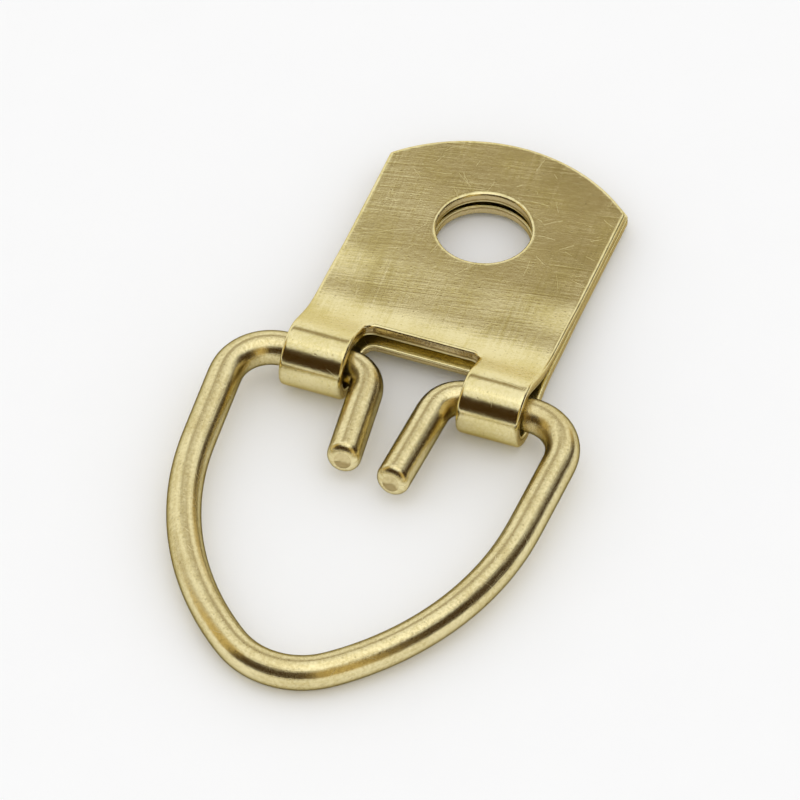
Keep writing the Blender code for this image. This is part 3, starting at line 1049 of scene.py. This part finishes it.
def flag_material(stage):
    """Dark and warm cloths by turns, whose edges let more and more light through."""
    material, graph, shader = new_material("flag_cloth")
    graph.tree.nodes.remove(shader)
    x, y, height = graph.separate(graph.add("ShaderNodeTexCoord").outputs["Object"])
    level = graph.math("ARCTANGENT", graph.math("DIVIDE", height, stage.flag_radius))
    across = math.cos(stage.azimuth) / stage.flag_radius
    ahead = math.sin(stage.azimuth) / stage.flag_radius
    facing = graph.total(0.0, (x, ahead), (y, -across))
    beside = graph.total(0.0, (x, across), (y, ahead))

    def cloth_between(band, side):
        start, whole, thins, end = band
        height = graph.product(graph.ramp(level, start, whole), graph.ramp(level, thins, end, 1, 0))
        return graph.product(height, side)

    behind = graph.ramp(facing, -math.cos(stage.far_reach / 2), -math.cos(stage.far_reach), 1, 0)
    near = cloth_between(stage.near_band, graph.ramp(facing, *NEAR_SIDE))
    flank = cloth_between(stage.flank_band, graph.ramp(beside, *FLANK_SIDE))
    far = cloth_between(stage.far_band, behind)
    cover = graph.math("ADD", graph.math("MAXIMUM", near, flank), far, clamp=True)

    turn = graph.product(graph.math("ARCTAN2", y, x), stage.flag_count)
    swing = graph.math("SINE", graph.math("SUBTRACT", turn, stage.flag_count * stage.flag_turn))
    warmth = graph.ramp(swing, *WARM_SIDE)
    warmth = graph.total(warmth, (graph.math("SUBTRACT", stage.far_warmth, warmth), behind))
    colour = graph.blend(warmth, opaque(stage.flag_dark_colour), opaque(stage.flag_warm_colour))
    cloth = graph.add("ShaderNodeEmission", {"Color": colour, "Strength": 1.0}).outputs[0]
    clear = graph.add("ShaderNodeBsdfTransparent").outputs[0]
    mixed = graph.add("ShaderNodeMixShader", {0: cover, 1: clear, 2: cloth}).outputs[0]
    graph.feed(graph.tree.nodes["Material Output"].inputs, {"Surface": mixed})
    return material


class HANGER_OT_stage(bpy.types.Operator):
    """Lays the floor and sets up the flags, the lamp, the soft light and the camera"""

    bl_idname = "hanger.stage"
    bl_label = "Stage"

    def execute(self, context):
        scene = context.scene
        stage = scene.hanger_stage
        self.floor(stage)
        self.flags(stage)
        self.lamp(stage)
        self.sky(scene, stage)
        self.camera(scene, stage)
        scene.view_settings.view_transform = "Standard"
        return {"FINISHED"}

    def floor(self, stage):
        mesh = bmesh.new()
        bmesh.ops.create_circle(mesh, cap_ends=True, segments=ROUND_SEGMENTS, radius=FLOOR_RADIUS)
        floor = mesh_object("floor", mesh)
        floor.location.z = -FLOOR_DROP
        material, graph, shader = new_material("floor_paper")
        pale = stage.floor_colour
        soft = [value * FLOOR_SHADE for value in pale]
        mottle = graph.noise(graph.add("ShaderNodeTexCoord").outputs["Object"], FLOOR_MOTTLE_SCALE, detail=3)
        colour = graph.blend(mottle, opaque(pale), opaque(soft))
        graph.feed(shader.inputs, {"Base Color": colour, "Roughness": FLOOR_ROUGHNESS,
                                   "Specular IOR Level": FLOOR_SHEEN})
        floor.data.materials.append(material)
        floor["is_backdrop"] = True

    def flags(self, stage):
        """Cloths that only the metal's reflections see."""
        top = max(stage.near_band[-1], stage.far_band[-1])
        flag = flag_cylinder("flags", stage.flag_radius, stage.near_band[0], top)
        flag.data.materials.append(flag_material(stage))
        flag.visible_camera = False
        flag.visible_diffuse = False
        flag.visible_shadow = False
        flag.visible_transmission = False
        flag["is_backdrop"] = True

    def lamp(self, stage):
        light = bpy.data.lights.new("softbox", "AREA")
        light.shape = "SQUARE"
        light.size = stage.lamp_size
        light.energy = stage.lamp_radiance * math.pi * stage.lamp_size ** 2
        lamp = new_object("softbox", light)
        lamp.location = (LAMP_SIDE, LAMP_FRONT, stage.lamp_height)
        lamp.rotation_euler = (-lamp.location).to_track_quat("-Z", "Y").to_euler()

    def sky(self, scene, stage):
        """Soft light from all round, which the camera and the metal see as plain white."""
        world = bpy.data.worlds.new("sky")
        world.use_nodes = True
        scene.world = world
        graph = Graph(world.node_tree)
        rays = graph.add("ShaderNodeLightPath").outputs
        seen = graph.math("MAXIMUM", rays["Is Camera Ray"], rays["Is Glossy Ray"])
        seen = graph.math("MAXIMUM", seen, rays["Is Transmission Ray"])
        strength = graph.total(stage.sky_strength, (seen, 1 - stage.sky_strength))
        background = world.node_tree.nodes["Background"]
        graph.feed(background.inputs, {"Color": (1, 1, 1, 1), "Strength": strength})

    def camera(self, scene, stage):
        low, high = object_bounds()
        centre = (low + high) / 2
        level = math.cos(stage.elevation)
        back = Vector((math.sin(stage.azimuth) * level, -math.cos(stage.azimuth) * level,
                       math.sin(stage.elevation)))
        data = bpy.data.cameras.new("camera")
        data.lens = data.sensor_width * stage.distance / stage.frame_width
        data.clip_start = CAMERA_NEAREST
        data.clip_end = CAMERA_FURTHEST
        camera = new_object("camera", data)
        camera.location = centre + back * stage.distance
        camera.rotation_euler = (-back).to_track_quat("-Z", "Y").to_euler()
        scene.camera = camera


class HANGER_PT_sidebar(bpy.types.Panel):
    """Lists the hanger's settings and the operators that build it"""

    bl_label = "D Ring Hanger"
    bl_idname = "HANGER_PT_sidebar"
    bl_space_type = "VIEW_3D"
    bl_region_type = "UI"
    bl_category = "Hanger"

    def draw(self, context):
        layout = self.layout
        scene = context.scene
        sections = ((HANGER_OT_plating, scene.hanger_plating), (HANGER_OT_strap, scene.hanger_strap),
                    (HANGER_OT_ring, scene.hanger_ring), (HANGER_OT_stage, scene.hanger_stage))
        for operator, settings in sections:
            box = layout.box()
            box.operator(operator.bl_idname)
            for name in settings.__annotations__:
                box.prop(settings, name)


groups_of_settings = {"hanger_strap": StrapSettings, "hanger_ring": RingSettings,
                      "hanger_plating": PlatingSettings, "hanger_stage": StageSettings}
classes = (*groups_of_settings.values(), HANGER_OT_plating, HANGER_OT_strap, HANGER_OT_ring, HANGER_OT_stage,
           HANGER_PT_sidebar)


def register():
    for cls in classes:
        bpy.utils.register_class(cls)
    for name, settings in groups_of_settings.items():
        setattr(bpy.types.Scene, name, PointerProperty(type=settings))


def unregister():
    for name in groups_of_settings:
        delattr(bpy.types.Scene, name)
    for cls in reversed(classes):
        bpy.utils.unregister_class(cls)


def main():
    register()
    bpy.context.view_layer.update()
    bpy.ops.hanger.plating()
    bpy.ops.hanger.strap()
    bpy.ops.hanger.ring()
    bpy.ops.hanger.stage()


if __name__ == "__main__":
    main()
